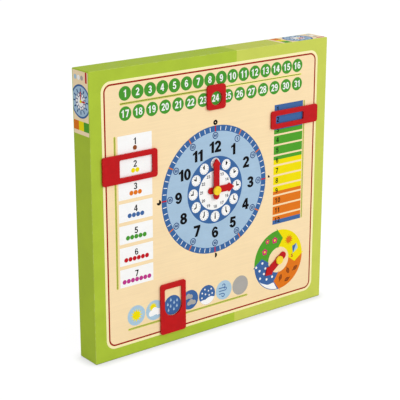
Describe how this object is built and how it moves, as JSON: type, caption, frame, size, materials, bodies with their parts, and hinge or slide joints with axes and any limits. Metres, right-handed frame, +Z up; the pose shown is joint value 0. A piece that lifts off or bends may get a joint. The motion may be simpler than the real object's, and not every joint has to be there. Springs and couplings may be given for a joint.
{
  "type": "time teaching board",
  "caption": "Square standing teaching board: a shallow case whose face board carries a clock dial with two hands, a season pointer and sliding frames for date, weekday, month and weather.",
  "frame": {"origin": "centre of the case's underside", "axes": "+Z up, -Y out of the printed front, +X to the right seen from the front"},
  "size_m": [0.38, 0.0409, 0.372],
  "materials": {
    "case_green": "satin",
    "face_beige": "satin",
    "bare_wood": "matte",
    "cover_brown": "matte",
    "marker_red": "satin",
    "hub_yellow": "gloss",
    "fibre": "matte",
    "steel": "satin",
    "felt": "matte"
  },
  "bodies": {
    "case": {"bezel_frame": "case_green", "left_wall": "case_green", "right_wall": "case_green", "top_wall": "case_green", "bottom_wall": "case_green", "face_board": "face_beige", "batten_left": "bare_wood", "batten_right": "bare_wood", "batten_top": "bare_wood", "batten_bottom": "bare_wood", "corner_block_top_left": "bare_wood", "corner_block_top_right": "bare_wood", "corner_block_bottom_left": "bare_wood", "corner_block_bottom_right": "bare_wood", "rear_cover": "cover_brown", "clock_cap": "hub_yellow", "season_cap": "hub_yellow", "dial_washer": "fibre", "hand_washer": "fibre", "season_washer": "fibre", "rear_screws": "steel", "clock_spindle": "steel", "season_spindle": "steel"},
    "weekday_slider": {"weekday_frame": "marker_red", "weekday_pins": "steel", "weekday_felt": "felt", "weekday_keeper": "bare_wood"},
    "month_slider": {"month_frame": "marker_red", "month_pins": "steel", "month_felt": "felt", "month_keeper": "bare_wood"},
    "weather_slider": {"weather_frame": "marker_red", "weather_pins": "steel", "weather_felt": "felt", "weather_keeper": "bare_wood"},
    "date_carriage": {"date_keeper": "bare_wood", "date_felt": "felt"},
    "date_marker": {"date_frame": "marker_red", "date_pin": "steel", "date_clip": "steel"},
    "hour": {"hour_hand": "marker_red"},
    "minute": {"minute_hand": "marker_red"},
    "season": {"season_pointer": "marker_red"}
  },
  "joints": [
    {"name": "weekday_slide", "type": "slide", "parent": "case", "child": "weekday_slider", "axis": [0, 0, 1], "range_m": [-0.1425, 0.0285]},
    {"name": "month_slide", "type": "slide", "parent": "case", "child": "month_slider", "axis": [0, 0, 1], "range_m": [-0.1405, 0.01405]},
    {"name": "weather_slide", "type": "slide", "parent": "case", "child": "weather_slider", "axis": [1, 0, 0], "range_m": [-0.0568, 0.1136]},
    {"name": "date_slide", "type": "slide", "parent": "case", "child": "date_carriage", "axis": [1, 0, 0], "range_m": [-0.138, 0.138]},
    {"name": "date_flip", "type": "hinge", "parent": "date_carriage", "child": "date_marker", "pos_m": [-0.001, 0, 0.32755], "axis": [0, 1, 0], "continuous": true},
    {"name": "hour_turn", "type": "hinge", "parent": "case", "child": "hour", "pos_m": [-0.001, 0, 0.1938], "axis": [0, 1, 0], "continuous": true},
    {"name": "minute_turn", "type": "hinge", "parent": "case", "child": "minute", "pos_m": [-0.001, 0, 0.1938], "axis": [0, 1, 0], "continuous": true},
    {"name": "season_turn", "type": "hinge", "parent": "case", "child": "season", "pos_m": [0.1105, 0, 0.0725], "axis": [0, 1, 0], "continuous": true}
  ]
}
